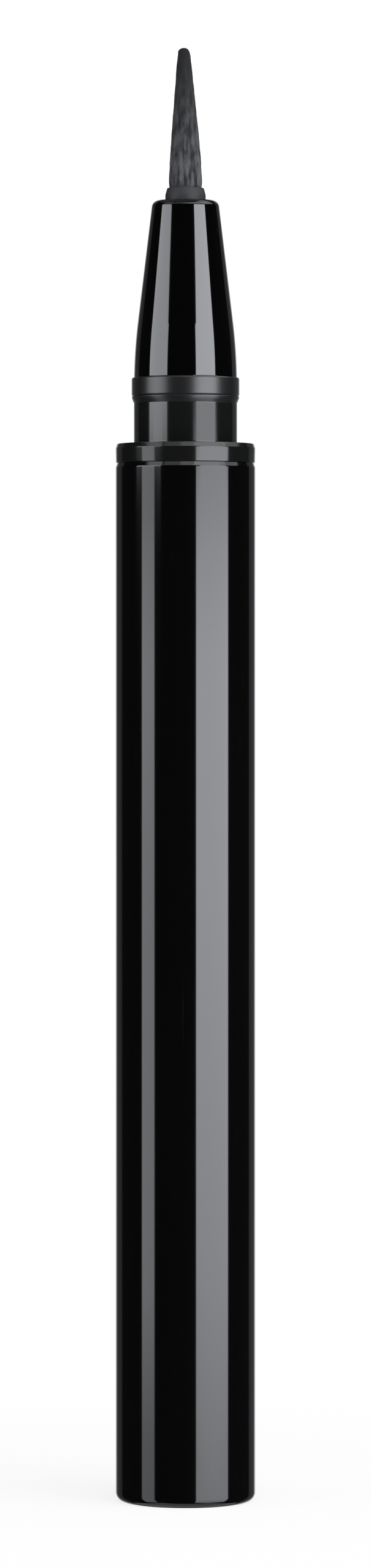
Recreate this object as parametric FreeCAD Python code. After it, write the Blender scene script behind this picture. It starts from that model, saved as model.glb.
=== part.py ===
# Felt-tip liquid eyeliner pen with its cap off, standing on its tail.
# Millimetres, +Z from the tail to the nib, origin at the centre of the flat tail face.
# A closed outer barrel holds a free-liquid cartridge. The liquid runs from the tank through a wick
# in a finned collector to the felt nib, and a loose steel ball stirs it when the pen is shaken.

import FreeCAD, Part
import math
import os

# Fits that several pieces share
press_gap = 0.03
air_gap = 0.3
ball_gap = 0.1
cut_overrun = 2.0

# Barrel: the outer tube with a closed, rounded tail
barrel_diameter = 11.0
barrel_length = 81.7
barrel_wall = 1.0
tail_wall = 2.0
tail_round = 0.65
mouth_chamfer = 0.25
rib_count = 6
rib_width = 0.8
rib_ledge = 1.0
rib_overlap = 4.0

# Neck section: collar, cap neck, and the spigot that snaps into the barrel
collar_height = 1.7
collar_chamfer = 0.35
neck_diameter = 8.14
neck_height = 3.2
neck_wall = 0.85
neck_chamfer = 0.1
spigot_length = 8.0
spigot_wall = 0.55
spigot_lead_in = 0.3
land_thickness = 2.0
snap_height = 0.12
snap_width = 0.9
snap_setback = 3.5

# Cap seal: the soft band between the neck and the cone
seal_diameter = 8.48
seal_height = 2.2
seal_chamfer = 0.15

# Tip cone: the tapered holder in front of the seal
cone_height = 13.75
cone_base_diameter = 8.12
cone_mouth_diameter = 5.2
cone_waist_diameter = 7.97
cone_waist_height = 2.3
cone_mouth_round = 0.45
cone_base_chamfer = 0.1
cone_stem_depth = 5.0
cone_stem_wall = 0.8
groove_count = 4
groove_width = 0.5
groove_depth = 0.3

# Nib sleeve: the bush that grips the nib in the cone
sleeve_diameter = 3.18
sleeve_stand_out = 1.0
sleeve_taper_height = 0.55
sleeve_grip = 9.0
sleeve_flange_diameter = 4.5
sleeve_flange_thickness = 0.8

# Felt nib: a point that tapers slowly to its belly, then faster to its rounded tip
nib_diameter = 2.52
nib_point_length = 11.02
nib_belly_diameter = 2.3
nib_belly_height = 2.65
nib_shoulder_diameter = 1.14
nib_round_length = 1.25
nib_round_share = 0.7
nib_tail = 1.5

# Feed wick: the fibre rod from the tank to the nib
wick_diameter = 1.6
wick_bite = 3.0
wick_dip = 2.0
wick_bevel = 0.2

# Comb collector: thin fins that hold back surplus liquid
collector_trunk_diameter = 3.0
collector_flange_thickness = 0.8
fin_count = 8
fin_thickness = 0.8
fin_space = 1.0
rear_collar_thickness = 1.5
rear_snout_length = 1.5
liquid_slot_width = 0.3
air_slot_width = 1.0

# Tank: the inner tube that holds the liquid
tank_wall = 0.6
tank_length = 58.0

# Tank gasket: the flat washer clamped over the collector's flange
gasket_thickness = 0.6
gasket_width = 1.0

# Tank plug: the stopper at the tank's tail
plug_head_thickness = 1.0
plug_stem_length = 4.0
plug_core_depth = 3.2
plug_wall = 0.8
plug_bead_height = 0.12
plug_bead_width = 1.0
dish_diameter = 2.6
dish_depth = 0.6

# Agitator ball
ball_diameter = 3.2

# Radii worked out from the sizes above
barrel_radius = barrel_diameter / 2
barrel_bore = barrel_radius - barrel_wall
spigot_radius = barrel_bore - press_gap
tank_socket = spigot_radius - spigot_wall
tank_radius = tank_socket - press_gap
tank_bore = tank_radius - tank_wall
neck_radius = neck_diameter / 2
stem_socket = neck_radius - neck_wall
stem_radius = stem_socket - press_gap
cone_cavity = stem_radius - cone_stem_wall
cone_base_radius = cone_base_diameter / 2
cone_mouth_radius = cone_mouth_diameter / 2
sleeve_radius = sleeve_diameter / 2
sleeve_socket = sleeve_radius + press_gap
nib_radius = nib_diameter / 2
nib_socket = nib_radius + press_gap
wick_radius = wick_diameter / 2
wick_socket = wick_radius + press_gap
trunk_radius = collector_trunk_diameter / 2
land_bore = trunk_radius + air_gap
fin_radius = tank_bore - air_gap
rear_collar_radius = tank_bore - press_gap
plug_bead_radius = tank_bore - press_gap
plug_stem_radius = plug_bead_radius - plug_bead_height
dish_radius = dish_diameter / 2
ball_radius = ball_diameter / 2

# Heights of the visible stack, from the tail up
collar_top = barrel_length + collar_height
neck_top = collar_top + neck_height
seal_top = neck_top + seal_height
cone_top = seal_top + cone_height
sleeve_top = cone_top + sleeve_stand_out
nib_top = sleeve_top + nib_point_length

# Heights of the inner stack, from the cone down
sleeve_step = cone_top - sleeve_grip
sleeve_foot = sleeve_step - sleeve_flange_thickness
nib_foot = sleeve_foot - nib_tail
wick_top = nib_foot + wick_bite
stem_foot = neck_top - cone_stem_depth
stem_floor = stem_foot - press_gap
land_foot = stem_floor - land_thickness
gasket_foot = land_foot - gasket_thickness
tank_top = gasket_foot - collector_flange_thickness
fin_pitch = fin_thickness + fin_space
fins_foot = tank_top - fin_count * fin_pitch
rear_collar_foot = fins_foot - rear_collar_thickness
snout_foot = rear_collar_foot - rear_snout_length
wick_foot = snout_foot - wick_dip
nose_top = nib_foot - air_gap
tank_foot = tank_top - tank_length
plug_foot = tank_foot - plug_head_thickness
plug_top = tank_foot + plug_stem_length
dish_slope = math.hypot(dish_radius, dish_depth) / dish_radius
ball_rest = plug_top - dish_depth + dish_slope * (ball_radius + ball_gap)
ball_travel = wick_foot - ball_gap - ball_radius - ball_rest

AXIS_POINT = FreeCAD.Vector(0, 0, 0)
AXIS = FreeCAD.Vector(0, 0, 1)
FULL_TURN = 360
HALF_TURN = 180
RIM_TOLERANCE_SHARE = 1e-5


def at(radius, height):
    """A point of an outline, in the plane through the pen's axis."""
    return FreeCAD.Vector(radius, 0, height)


def line(start, end):
    """A straight stretch of an outline between two (radius, height) points."""
    return Part.LineSegment(at(*start), at(*end)).toShape()


def bend(start, control, end):
    """A parabolic stretch of an outline, drawn towards a (radius, height) control point."""
    curve = Part.BezierCurve()
    curve.setPoles([at(*start), at(*control), at(*end)])
    return curve.toShape()


def run(*points):
    """Straight stretches from each (radius, height) point to the next."""
    return [line(start, end) for start, end in zip(points, points[1:])]


def turned(edges):
    """The solid that a closed outline sweeps round the pen's axis."""
    face = Part.Face(Part.Wire(Part.__sortEdges__(edges)))
    return face.revolve(AXIS_POINT, AXIS, FULL_TURN)


def turned_ring(*corners):
    """A turned solid whose outline is a polygon of (radius, height) corners."""
    return turned(run(*corners, corners[0]))


def cylinder(radius, foot, top):
    """A plain cylinder about the pen's axis."""
    return Part.makeCylinder(radius, top - foot, FreeCAD.Vector(0, 0, foot), AXIS)


def rims(solid, *places):
    """The full circles of a solid that lie at these (radius, height) places."""
    circles = [edge for edge in solid.Edges if isinstance(edge.Curve, Part.Circle)]
    return [
        edge
        for edge in circles
        for radius, height in places
        if math.isclose(edge.Curve.Radius, radius, rel_tol=RIM_TOLERANCE_SHARE)
        and math.isclose(edge.Curve.Center.z, height, abs_tol=RIM_TOLERANCE_SHARE * radius)
    ]


def chamfered(solid, size, *places):
    """Breaks the rims at these (radius, height) places."""
    return solid.makeChamfer(size, rims(solid, *places))


def radial_bar(width, inner, outer, foot, top, angle):
    """A straight bar that points outwards from the axis, from one radius to another."""
    corner = FreeCAD.Vector(inner, -width / 2, foot)
    bar = Part.makeBox(outer - inner, width, top - foot, corner)
    return bar.rotate(AXIS_POINT, AXIS, angle)


def around(count, start=0):
    """The angles of a pattern spaced evenly round the axis."""
    return [start + FULL_TURN * step / count for step in range(count)]


def snap_bead(radius, height, width):
    """The outline corners of a bead with sloping flanks on a wall of this radius."""
    crest = radius + height
    middle = barrel_length - snap_setback
    half_foot = width / 2
    half_crest = half_foot - height
    return [
        (radius, middle - half_foot),
        (crest, middle - half_crest),
        (crest, middle + half_crest),
        (radius, middle + half_foot),
    ]


def make_barrel():
    """The outer tube: closed rounded tail, snap groove by the mouth, ribs that centre the tank."""
    tail_flat = (barrel_radius - tail_round, 0)
    tail_side = (barrel_radius, tail_round)
    tail_edge = bend(tail_flat, (barrel_radius, 0), tail_side)
    outline = run(
        tail_side,
        (barrel_radius, barrel_length),
        (barrel_bore, barrel_length),
        *reversed(snap_bead(barrel_bore, snap_height, snap_width + 2 * press_gap)),
        (barrel_bore, tail_wall),
        (0, tail_wall),
        (0, 0),
        tail_flat,
    )
    tube = turned(outline + [tail_edge])
    tube = chamfered(tube, mouth_chamfer, (barrel_radius, barrel_length))
    rib_inner = tank_radius - rib_ledge
    rib_outer = barrel_radius - barrel_wall / 2
    rib_foot = tail_wall / 2
    rib_top = plug_foot + rib_overlap
    ribs = [
        radial_bar(rib_width, rib_inner, rib_outer, rib_foot, rib_top, angle)
        for angle in around(rib_count)
    ]
    cartridge_room = cylinder(tank_socket, plug_foot, rib_top + cut_overrun)
    ribs = [rib.cut(cartridge_room) for rib in ribs]
    return tube.fuse(ribs).removeSplitter()


def make_neck_section():
    """Collar and cap neck on a spigot, with a socket for the tank below and for the cone above."""
    spigot_foot = barrel_length - spigot_length
    section = turned_ring(
        (tank_socket, spigot_foot),
        (spigot_radius - spigot_lead_in, spigot_foot),
        (spigot_radius, spigot_foot + spigot_lead_in),
        *snap_bead(spigot_radius, snap_height, snap_width),
        (spigot_radius, barrel_length),
        (barrel_radius, barrel_length),
        (barrel_radius, collar_top),
        (neck_radius, collar_top),
        (neck_radius, neck_top),
        (stem_socket, neck_top),
        (stem_socket, stem_floor),
        (land_bore, stem_floor),
        (land_bore, land_foot),
        (tank_socket, land_foot),
    )
    section = chamfered(section, collar_chamfer, (barrel_radius, collar_top))
    section = chamfered(section, mouth_chamfer, (barrel_radius, barrel_length))
    return chamfered(section, neck_chamfer, (neck_radius, neck_top))


def make_cap_seal():
    """The soft band on the cone's stem that a cap closes on."""
    seal_radius = seal_diameter / 2
    band = turned_ring(
        (stem_socket, neck_top),
        (seal_radius, neck_top),
        (seal_radius, seal_top),
        (stem_socket, seal_top),
    )
    return chamfered(band, seal_chamfer, (seal_radius, neck_top), (seal_radius, seal_top))


def make_tip_cone():
    """The tapered holder: a flank that steepens to a waist, a stem in the neck, air grooves in the bore."""
    waist = (cone_waist_diameter / 2, seal_top + cone_waist_height)
    corner = (cone_mouth_radius, cone_top)
    flank_share = cone_mouth_round / (cone_top - waist[1])
    mouth_side = (corner[0] + flank_share * (waist[0] - corner[0]), cone_top - cone_mouth_round)
    mouth_flat = (cone_mouth_radius - cone_mouth_round, cone_top)
    outline = run(
        mouth_flat,
        (sleeve_socket, cone_top),
        (sleeve_socket, sleeve_step),
        (cone_cavity, sleeve_step),
        (cone_cavity, stem_foot),
        (stem_radius, stem_foot),
        (stem_radius, seal_top),
        (cone_base_radius, seal_top),
        waist,
        mouth_side,
    )
    cone = turned(outline + [bend(mouth_side, corner, mouth_flat)])
    cone = chamfered(cone, cone_base_chamfer, (cone_base_radius, seal_top))
    groove_outer = sleeve_socket + groove_depth
    groove_foot = sleeve_step - cut_overrun
    groove_top = cone_top + cut_overrun
    grooves = [
        radial_bar(groove_width, 0, groove_outer, groove_foot, groove_top, angle)
        for angle in around(groove_count)
    ]
    return cone.cut(grooves)


def make_nib_sleeve():
    """The bush round the nib's shank: a flange behind the cone's step and a tapered lip in front."""
    flange_radius = sleeve_flange_diameter / 2
    return turned_ring(
        (nib_socket, sleeve_foot),
        (flange_radius, sleeve_foot),
        (flange_radius, sleeve_step),
        (sleeve_radius, sleeve_step),
        (sleeve_radius, sleeve_top - sleeve_taper_height),
        ((sleeve_radius + nib_socket) / 2, sleeve_top),
        (nib_socket, sleeve_top),
    )


def make_felt_nib():
    """The pressed-felt point: straight shank, full belly, long taper, rounded tip, hole for the wick."""
    belly = (nib_belly_diameter / 2, sleeve_top + nib_belly_height)
    shoulder_radius = nib_shoulder_diameter / 2
    shoulder = (shoulder_radius, nib_top - nib_round_length)
    control = (nib_round_share * shoulder_radius, nib_top)
    tip = (0, nib_top)
    hole_top = wick_top + press_gap
    back = run(
        tip,
        (0, hole_top),
        (wick_socket, hole_top),
        (wick_socket, nib_foot),
        (nib_radius, nib_foot),
        (nib_radius, sleeve_top),
        belly,
        shoulder,
    )
    return turned(back + [bend(shoulder, control, tip)])


def make_feed_wick():
    """The fibre rod, with bevelled ends."""
    end_radius = wick_radius - wick_bevel
    return turned_ring(
        (0, wick_foot),
        (end_radius, wick_foot),
        (wick_radius, wick_foot + wick_bevel),
        (wick_radius, wick_top - wick_bevel),
        (end_radius, wick_top),
        (0, wick_top),
    )


def make_comb_collector():
    """A trunk with thin fins, a sealing collar behind and a clamped flange and nose in front."""
    corners = [
        (wick_socket, snout_foot),
        (trunk_radius, snout_foot),
        (trunk_radius, rear_collar_foot),
        (rear_collar_radius, rear_collar_foot),
        (rear_collar_radius, fins_foot),
    ]
    for fins_left in range(fin_count, 0, -1):
        space_foot = tank_top - fins_left * fin_pitch
        space_top = space_foot + fin_space
        fin_top = tank_top - (fins_left - 1) * fin_pitch
        corners += [
            (trunk_radius, space_foot),
            (trunk_radius, space_top),
            (fin_radius, space_top),
            (fin_radius, fin_top),
        ]
    corners += [
        (tank_radius, tank_top),
        (tank_radius, gasket_foot),
        (trunk_radius, gasket_foot),
        (trunk_radius, nose_top),
        (wick_socket, nose_top),
    ]
    collector = turned_ring(*corners)
    reach = tank_radius + cut_overrun
    liquid_slot = radial_bar(liquid_slot_width, 0, reach, snout_foot - cut_overrun, tank_top, HALF_TURN)
    air_slot = radial_bar(air_slot_width, trunk_radius, reach, fins_foot, gasket_foot + cut_overrun, 0)
    return collector.cut([liquid_slot, air_slot])


def make_tank_gasket():
    """The flat washer that seals the cartridge against the neck section."""
    inner = tank_radius - gasket_width
    return turned_ring(
        (inner, gasket_foot),
        (tank_radius, gasket_foot),
        (tank_radius, land_foot),
        (inner, land_foot),
    )


def make_ink_tank():
    """The inner tube, open at both ends."""
    return turned_ring(
        (tank_bore, tank_foot),
        (tank_radius, tank_foot),
        (tank_radius, tank_top),
        (tank_bore, tank_top),
    )


def make_tank_plug():
    """The stopper: a head on the tank's rim, a stem with a sealing bead, a dish that centres the ball."""
    core_radius = plug_stem_radius - plug_wall
    core_top = plug_foot + plug_core_depth
    bead_foot = tank_foot + (plug_stem_length - plug_bead_width) / 2
    bead_top = bead_foot + plug_bead_width
    return turned_ring(
        (core_radius, plug_foot),
        (tank_radius, plug_foot),
        (tank_radius, tank_foot),
        (plug_stem_radius, tank_foot),
        (plug_stem_radius, bead_foot),
        (plug_bead_radius, bead_foot + plug_bead_height),
        (plug_bead_radius, bead_top - plug_bead_height),
        (plug_stem_radius, bead_top),
        (plug_stem_radius, plug_top),
        (dish_radius, plug_top),
        (0, plug_top - dish_depth),
        (0, core_top),
        (core_radius, core_top),
    )


def make_agitator_ball():
    """The loose steel ball, at rest in the plug's dish."""
    return Part.makeSphere(ball_radius, FreeCAD.Vector(0, 0, ball_rest))


PIECES = {
    "barrel": make_barrel,
    "neck_section": make_neck_section,
    "cap_seal": make_cap_seal,
    "tip_cone": make_tip_cone,
    "nib_sleeve": make_nib_sleeve,
    "felt_nib": make_felt_nib,
    "feed_wick": make_feed_wick,
    "comb_collector": make_comb_collector,
    "tank_gasket": make_tank_gasket,
    "ink_tank": make_ink_tank,
    "tank_plug": make_tank_plug,
    "agitator_ball": make_agitator_ball,
}


def main():
    """Writes one STEP file for each piece."""
    os.makedirs("parts", exist_ok=True)
    for name, make in PIECES.items():
        shape = make()
        shape.exportStep(f"parts/{name}.step")
        print(f"{name}: {len(shape.Solids)} solid, {shape.Volume:.1f} mm3, valid {shape.isValid()}")
    print(f"overall length {nib_top:.2f}, ball rests at {ball_rest:.3f} and travels {ball_travel:.3f}")


main()
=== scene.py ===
"""Looks of a felt-tip liquid eyeliner pen, dressed over its packed construction.

Lengths are in metres, in the pen's own frame: +Z runs along the axis from the flat tail to the nib,
and the camera looks along +Y. The outer pieces are turned again with fine edges, the inner pieces
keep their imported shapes, and every piece gets a procedural finish.
"""

import logging
import math
from dataclasses import dataclass, field
from enum import Enum
from typing import ClassVar

import bmesh
import bpy
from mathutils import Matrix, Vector, noise

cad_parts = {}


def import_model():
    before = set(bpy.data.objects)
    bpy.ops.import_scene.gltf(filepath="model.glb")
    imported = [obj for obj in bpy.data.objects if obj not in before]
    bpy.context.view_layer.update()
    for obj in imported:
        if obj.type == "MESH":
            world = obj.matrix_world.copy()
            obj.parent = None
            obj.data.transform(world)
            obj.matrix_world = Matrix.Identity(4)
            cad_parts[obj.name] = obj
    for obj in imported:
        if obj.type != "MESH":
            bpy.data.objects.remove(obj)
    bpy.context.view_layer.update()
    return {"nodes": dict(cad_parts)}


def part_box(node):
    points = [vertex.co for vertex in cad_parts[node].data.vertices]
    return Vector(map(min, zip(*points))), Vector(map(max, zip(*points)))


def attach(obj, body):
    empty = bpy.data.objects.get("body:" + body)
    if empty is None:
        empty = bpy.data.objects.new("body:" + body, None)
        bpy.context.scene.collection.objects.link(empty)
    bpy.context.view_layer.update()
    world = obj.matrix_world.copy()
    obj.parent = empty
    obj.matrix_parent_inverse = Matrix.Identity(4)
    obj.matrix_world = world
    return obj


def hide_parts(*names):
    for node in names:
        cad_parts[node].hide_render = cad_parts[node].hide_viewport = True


LOG = logging.getLogger("eyeliner_pen")
MM = 0.001
PEN_BODY = "pen"
AXIS = Vector((0.0, 0.0, 1.0))
COOL_WHITE = (0.96, 0.98, 1.03)
WHITE = (1.0, 1.0, 1.0, 1.0)

# The Mix node's sockets go by number, because those for values and for colours share their names
MIX_VALUES = (2, 3)
MIX_VALUE_RESULT = 0
MIX_COLOURS = (6, 7)
MIX_COLOUR_RESULT = 2

Colour = tuple[float, float, float]


class Side(Enum):
    """Which way an azimuth runs from the camera's direction."""

    RIGHT = 1
    LEFT = -1


class Effect(Enum):
    """The shader node groups that several finishes share."""

    MOULDED_SKIN = "moulded_skin"
    HAIRLINES = "hairline_scuffs"
    FIBRES = "fibre_bundle"


@dataclass(frozen=True)
class Corner:
    """One corner of an outline that is turned round the axis.

    Attributes:
        radius: distance from the axis.
        height: place along the axis.
        fillet: length of the rounding along each stretch, or 0 for a crisp corner.
    """

    radius: float
    height: float
    fillet: float = 0.0

    @property
    def place(self) -> Vector:
        """The corner in the plane that the outline is drawn in."""
        return Vector((self.radius, 0.0, self.height))


# Modelling helpers


def deselect_all() -> None:
    """Leaves edit mode and deselects every object."""
    if bpy.context.object and bpy.context.object.mode != "OBJECT":
        bpy.ops.object.mode_set(mode="OBJECT")
    bpy.ops.object.select_all(action="DESELECT")


def make_active(piece: bpy.types.Object) -> None:
    """Selects one object alone and makes it the active one."""
    deselect_all()
    piece.select_set(True)
    bpy.context.view_layer.objects.active = piece


def select_vertices(piece: bpy.types.Object, chosen: list[bool]) -> None:
    """Selects vertices of the mesh in edit mode.

    Args:
        piece: the object whose mesh is being edited.
        chosen: one flag for each vertex, in the mesh's order.
    """
    mesh = bmesh.from_edit_mesh(piece.data)
    for vertex in mesh.verts:
        vertex.select_set(False)
    mesh.select_flush(False)
    for vertex, wanted in zip(mesh.verts, chosen):
        if wanted:
            vertex.select_set(True)
    mesh.select_flush(True)
    bmesh.update_edit_mesh(piece.data)


def shade_smooth(piece: bpy.types.Object, angle_deg: float) -> None:
    """Shades a mesh smooth, but for edges sharper than an angle."""
    make_active(piece)
    bpy.ops.object.shade_smooth_by_angle(angle=math.radians(angle_deg))


def apply_boolean(piece: bpy.types.Object, tool: bpy.types.Object, operation: str) -> None:
    """Cuts or joins one closed mesh with another, and removes the tool.

    Args:
        piece: the mesh that stays.
        tool: the mesh that is cut away or added.
        operation: DIFFERENCE or UNION.
    """
    make_active(piece)
    modifier = piece.modifiers.new("tool", "BOOLEAN")
    modifier.operation = operation
    modifier.solver = "EXACT"
    modifier.object = tool
    bpy.ops.object.modifier_apply(modifier=modifier.name)
    bpy.data.objects.remove(tool)


@dataclass(frozen=True)
class Lathe:
    """Draws an outline by extruding a vertex, and spins it round the pen's axis.

    Attributes:
        steps: faces round the axis.
        fillet_segments: faces across each rounded corner.
        hold: width of the ring beside each rounded corner that keeps the stretch next to it true.
        merge_distance: how near two points of the spun skin are before they become one.
        smooth_angle_deg: the sharpest edge that is still shaded smooth.
    """

    steps: int = 192
    fillet_segments: int = 6
    hold: float = 0.04 * MM
    merge_distance: float = 0.0005 * MM
    smooth_angle_deg: float = 32.0

    def turn(self, name: str, outline: list[Corner], closed: bool, run: float) -> bpy.types.Object:
        """Makes a closed skin from an outline.

        Args:
            name: the new object's name.
            outline: the corners in order, drawn beside the axis.
            closed: whether the last corner joins the first. If not, both lie on the axis.
            run: the longest stretch between two rings of the skin.

        Returns:
            The new object, at the origin, with its faces pointing outwards.
        """
        held = self._held(outline, closed)
        piece = self._start(name)
        self._draw(held)
        if closed:
            self._close(piece, held)
        self._round_corners(piece, outline)
        self._divide(piece, run)
        self._spin()
        bpy.ops.object.mode_set(mode="OBJECT")
        shade_smooth(piece, self.smooth_angle_deg)
        return piece

    def _held(self, outline: list[Corner], closed: bool) -> list[Corner]:
        """Adds a corner beside each rounding, so that the stretch next to it shades as straight.

        Args:
            outline: the corners in order.
            closed: whether the last corner joins the first.

        Returns:
            The corners with the added ones in their places.
        """
        held = []
        ends = outline[1:] + outline[:1] if closed else outline[1:]
        for start, end in zip(outline, ends):
            held.append(start)
            stretch = end.place - start.place
            if stretch.length < start.fillet + end.fillet + 3 * self.hold:
                continue
            reaches = []
            if start.fillet:
                reaches.append(start.fillet + self.hold)
            if end.fillet:
                reaches.append(stretch.length - end.fillet - self.hold)
            for reach in reaches:
                place = start.place + stretch.normalized() * reach
                held.append(Corner(place.x, place.z))
        if not closed:
            held.append(outline[-1])
        return held

    def _start(self, name: str) -> bpy.types.Object:
        """Adds a plane and collapses it to one vertex at the origin, in edit mode."""
        deselect_all()
        bpy.ops.mesh.primitive_plane_add(size=MM, location=(0.0, 0.0, 0.0))
        piece = bpy.context.object
        piece.name = name
        piece.data.name = name
        bpy.ops.object.mode_set(mode="EDIT")
        bpy.ops.mesh.select_mode(type="VERT")
        bpy.ops.mesh.select_all(action="SELECT")
        bpy.ops.mesh.merge(type="CENTER")
        return piece

    def _draw(self, outline: list[Corner]) -> None:
        """Extrudes the single vertex from corner to corner."""
        bpy.ops.transform.translate(value=outline[0].place)
        for start, end in zip(outline, outline[1:]):
            step = end.place - start.place
            bpy.ops.mesh.extrude_vertices_move(TRANSFORM_OT_translate={"value": step})

    def _nearest(self, piece: bpy.types.Object, places: list[Vector]) -> list[bool]:
        """Flags the vertex that lies nearest to each place."""
        mesh = bmesh.from_edit_mesh(piece.data)
        found = {min(mesh.verts, key=lambda v: (v.co - place).length).index for place in places}
        return [vertex.index in found for vertex in mesh.verts]

    def _close(self, piece: bpy.types.Object, outline: list[Corner]) -> None:
        """Joins the outline's two ends with an edge."""
        select_vertices(piece, self._nearest(piece, [outline[0].place, outline[-1].place]))
        bpy.ops.mesh.edge_face_add()

    def _round_corners(self, piece: bpy.types.Object, outline: list[Corner]) -> None:
        """Bevels each corner that has a fillet."""
        for corner in outline:
            if not corner.fillet:
                continue
            select_vertices(piece, self._nearest(piece, [corner.place]))
            bpy.ops.mesh.bevel(
                affect="VERTICES",
                offset=corner.fillet,
                segments=self.fillet_segments,
                profile=0.5,
            )

    def _divide(self, piece: bpy.types.Object, run: float) -> None:
        """Subdivides every stretch that is longer than the run."""
        mesh = bmesh.from_edit_mesh(piece.data)
        long_edges = [
            (edge.verts[0].co.copy(), edge.verts[1].co.copy())
            for edge in mesh.edges
            if edge.calc_length() > run
        ]
        for start, end in long_edges:
            cuts = math.ceil((end - start).length / run) - 1
            select_vertices(piece, self._nearest(piece, [start, end]))
            bpy.ops.mesh.subdivide(number_cuts=cuts)

    def _spin(self) -> None:
        """Spins the outline a full turn, and closes and orients the skin."""
        bpy.ops.mesh.select_all(action="SELECT")
        bpy.ops.mesh.spin(steps=self.steps, angle=math.tau, center=(0.0, 0.0, 0.0), axis=AXIS)
        bpy.ops.mesh.select_all(action="SELECT")
        bpy.ops.mesh.remove_doubles(threshold=self.merge_distance)
        bpy.ops.mesh.normals_make_consistent(inside=False)


def bars_about_axis(name: str, count: int, width: float, inner: float, outer: float,
                    foot: float, top: float) -> bpy.types.Object:
    """Makes straight bars that point outwards from the axis, evenly spaced, as one object.

    Args:
        name: the new object's name.
        count: how many bars.
        width: each bar's width across.
        inner: where the bars start, from the axis.
        outer: where they end.
        foot: their lowest height.
        top: their highest height.

    Returns:
        The bars, at the origin.
    """
    deselect_all()
    bpy.ops.mesh.primitive_cube_add(size=1.0, location=(0.0, 0.0, 0.0))
    bars = bpy.context.object
    bars.name = name
    bpy.ops.object.mode_set(mode="EDIT")
    bpy.ops.transform.resize(value=(outer - inner, width, top - foot))
    bpy.ops.transform.translate(value=((inner + outer) / 2, 0.0, (foot + top) / 2))
    for _ in range(count - 1):
        bpy.ops.mesh.duplicate()
        bpy.ops.transform.rotate(
            value=math.tau / count, orient_axis="Z", center_override=(0.0, 0.0, 0.0)
        )
    bpy.ops.object.mode_set(mode="OBJECT")
    return bars


def snap_ring(radius: float, middle: float, rise: float, width: float) -> list[Corner]:
    """Draws a ring with sloping flanks on a wall, from its lower side up.

    Args:
        radius: the wall's radius.
        middle: the height of the ring's middle.
        rise: how far the ring stands out from the axis.
        width: its width at the wall.

    Returns:
        The ring's four corners.
    """
    half_foot = width / 2
    half_crest = half_foot - rise
    return [
        Corner(radius, middle - half_foot),
        Corner(radius + rise, middle - half_crest),
        Corner(radius + rise, middle + half_crest),
        Corner(radius, middle + half_foot),
    ]


# Shader helpers


class Sketch:
    """Adds nodes to one tree and wires them, so that a finish reads as a list of steps."""

    def __init__(self, tree: bpy.types.NodeTree) -> None:
        """Keeps the tree that nodes are added to."""
        self.tree = tree

    def add(self, kind: str, values: dict | None = None, **settings: object) -> bpy.types.Node:
        """Adds a node.

        Args:
            kind: the node's type name, without its ShaderNode prefix.
            values: constants or output sockets for its inputs, by socket name or number.
            settings: the node's own properties.

        Returns:
            The new node.
        """
        node = self.tree.nodes.new("ShaderNode" + kind)
        for key, setting in settings.items():
            setattr(node, key, setting)
        for key, value in (values or {}).items():
            self.feed(node.inputs[key], value)
        return node

    def feed(self, socket: bpy.types.NodeSocket, value: object) -> None:
        """Links an input to an output socket, or sets it to a constant."""
        if isinstance(value, bpy.types.NodeSocket):
            self.tree.links.new(value, socket)
        else:
            socket.default_value = value

    def math(self, operation: str, first: object, second: object = 0.0) -> bpy.types.NodeSocket:
        """Adds a Math node and returns its result."""
        return self.add("Math", {0: first, 1: second}, operation=operation).outputs[0]

    def ramp(self, value: object, low: float, high: float, start: float = 0.0,
             end: float = 1.0, smooth: bool = True) -> bpy.types.NodeSocket:
        """Maps a value from one range to another and clamps it.

        Args:
            value: the socket that is mapped.
            low: where the source range starts.
            high: where the source range ends.
            start: the result at low.
            end: the result at high.
            smooth: whether the change eases in and out.

        Returns:
            The mapped value.
        """
        node = self.add(
            "MapRange",
            {"Value": value, "From Min": low, "From Max": high, "To Min": start, "To Max": end},
            interpolation_type="SMOOTHSTEP" if smooth else "LINEAR",
        )
        return node.outputs["Result"]

    def dot(self, first: object, second: object) -> bpy.types.NodeSocket:
        """Adds a dot product of two vectors and returns it."""
        node = self.add("VectorMath", {0: first, 1: second}, operation="DOT_PRODUCT")
        return node.outputs["Value"]

    def mix(self, share: object, first: object, second: object) -> bpy.types.NodeSocket:
        """Mixes two values and returns the result."""
        pair = dict(zip(MIX_VALUES, (first, second)))
        return self.add("Mix", {"Factor": share, **pair}).outputs[MIX_VALUE_RESULT]

    def blend(self, share: object, first: object, second: object) -> bpy.types.NodeSocket:
        """Mixes two colours and returns the result."""
        pair = dict(zip(MIX_COLOURS, (first, second)))
        node = self.add("Mix", {"Factor": share, **pair}, data_type="RGBA")
        return node.outputs[MIX_COLOUR_RESULT]

    def place(self, scale: tuple[float, float, float]) -> bpy.types.NodeSocket:
        """Returns the object's own coordinates, scaled along each axis."""
        coordinates = self.add("TexCoord").outputs["Object"]
        return self.add("Mapping", {"Vector": coordinates, "Scale": scale}).outputs["Vector"]

    def noise(self, place: bpy.types.NodeSocket, detail: float) -> bpy.types.NodeSocket:
        """Adds a noise of about one period to each unit of the place, and returns its value."""
        node = self.add("TexNoise", {"Vector": place, "Scale": 1.0, "Detail": detail})
        return node.outputs["Fac"]


def rgba(colour: Colour) -> tuple[float, float, float, float]:
    """A colour with full cover, as sockets take it."""
    return (*colour, 1.0)


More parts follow.
